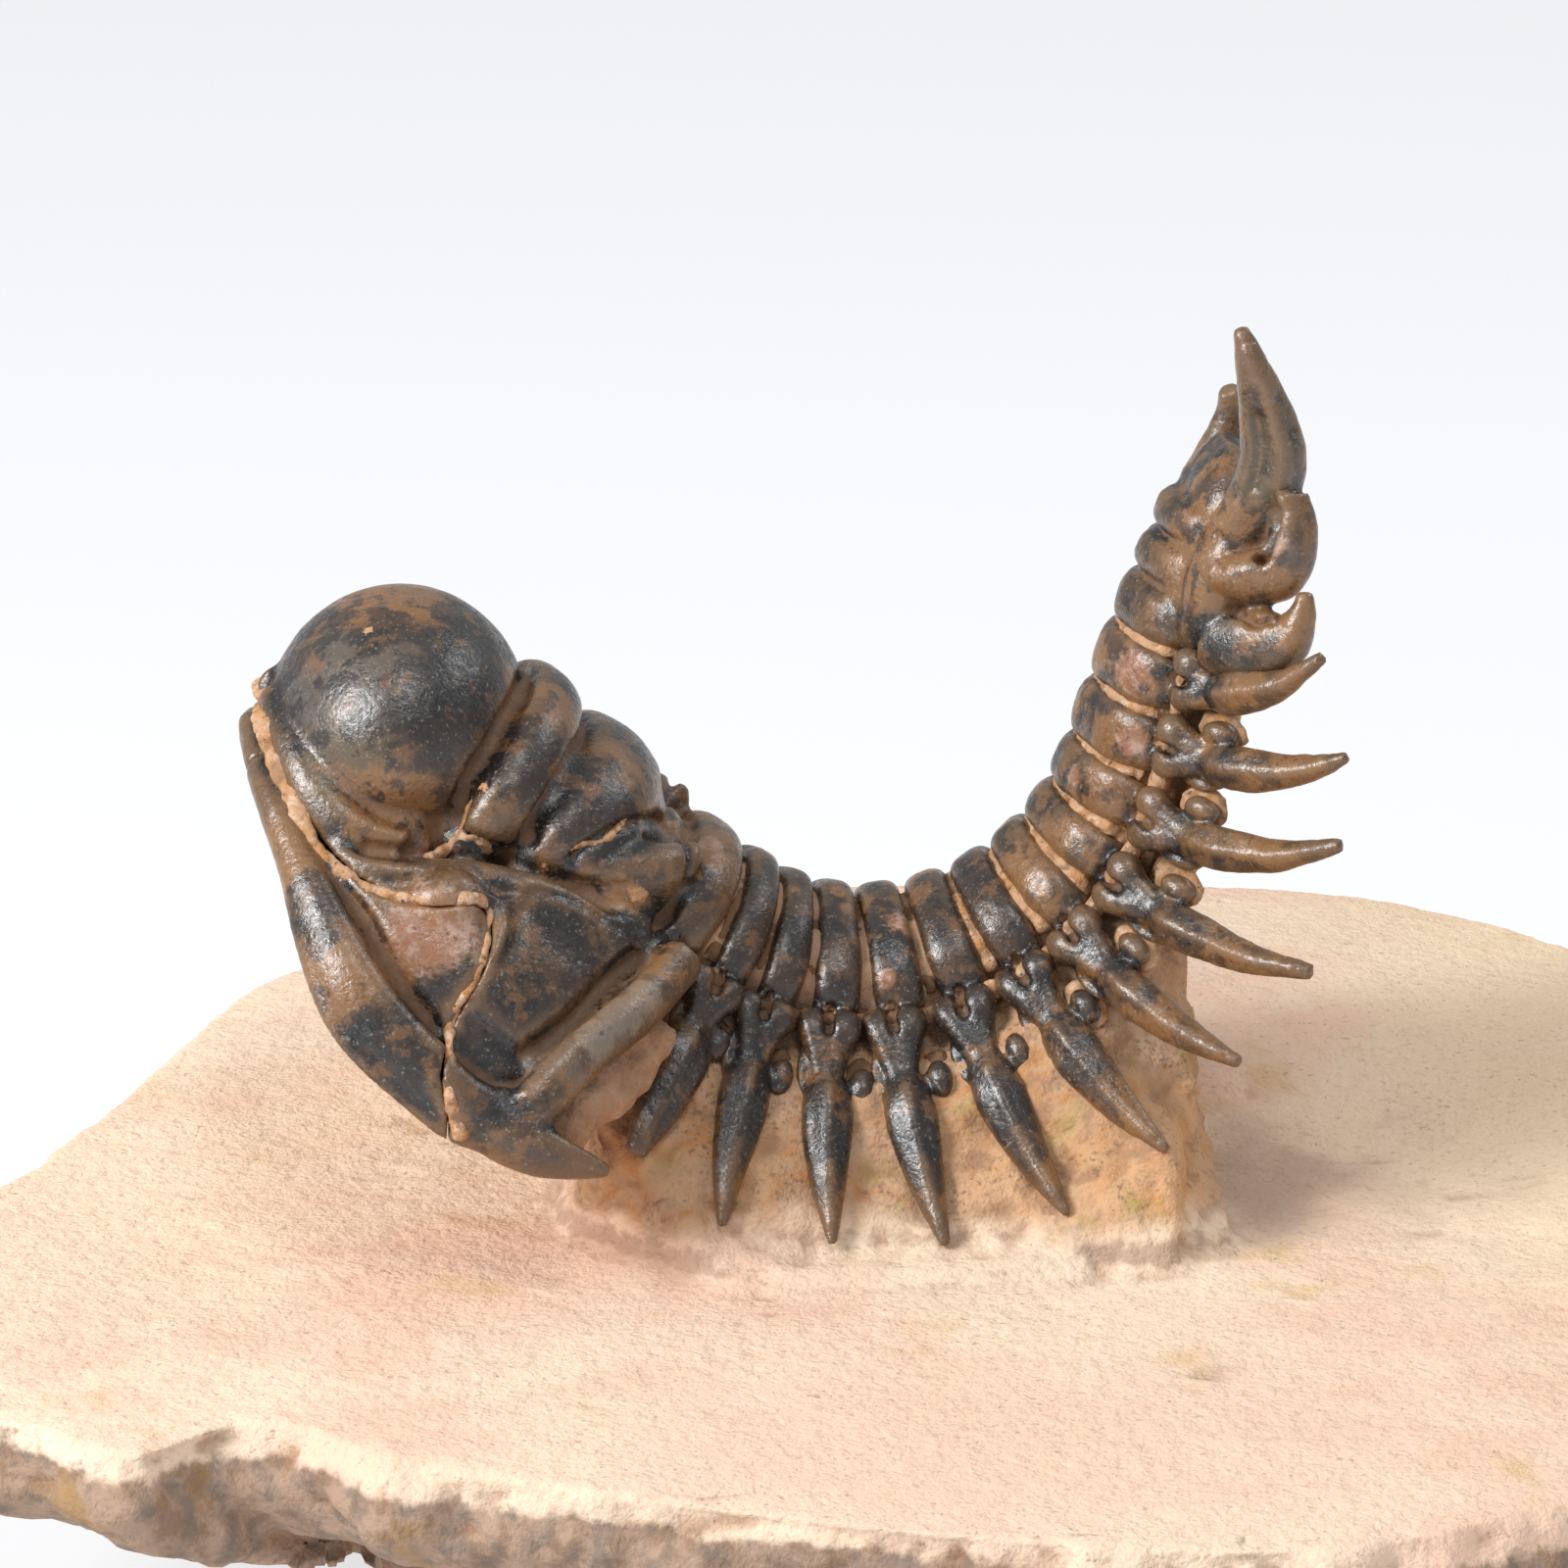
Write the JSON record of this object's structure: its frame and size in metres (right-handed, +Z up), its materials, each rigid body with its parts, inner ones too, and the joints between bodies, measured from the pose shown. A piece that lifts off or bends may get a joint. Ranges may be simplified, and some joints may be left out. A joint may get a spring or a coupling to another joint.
{
  "type": "fossil trilobite on matrix",
  "caption": "Spiny trilobite fossil, arched with head and tail raised, prepared free on a block of its sandy matrix that rests on a flat underside.",
  "frame": {"origin": "on the flat underside of the block, below the middle of the fossil", "axes": "+X from the head to the tail, +Z up away from the underside; -Y is the animal's left side"},
  "size_m": [0.1124, 0.0982, 0.0689],
  "materials": {
    "matrix_stone": "rough sandy limestone, peach with pink and ochre zones",
    "fossil_shell": "dark brown to black calcite, polished and slightly glossy"
  },
  "bodies": {
    "root": {"matrix_block": "matrix_stone", "cranidium": "fossil_shell", "free_cheek_left": "fossil_shell", "free_cheek_right": "fossil_shell", "rostral_plate": "fossil_shell", "thoracic_segment_01": "fossil_shell", "thoracic_segment_02": "fossil_shell", "thoracic_segment_03": "fossil_shell", "thoracic_segment_04": "fossil_shell", "thoracic_segment_05": "fossil_shell", "thoracic_segment_06": "fossil_shell", "thoracic_segment_07": "fossil_shell", "thoracic_segment_08": "fossil_shell", "thoracic_segment_09": "fossil_shell", "thoracic_segment_10": "fossil_shell", "thoracic_segment_11": "fossil_shell", "pygidium": "fossil_shell"}
  },
  "joints": []
}
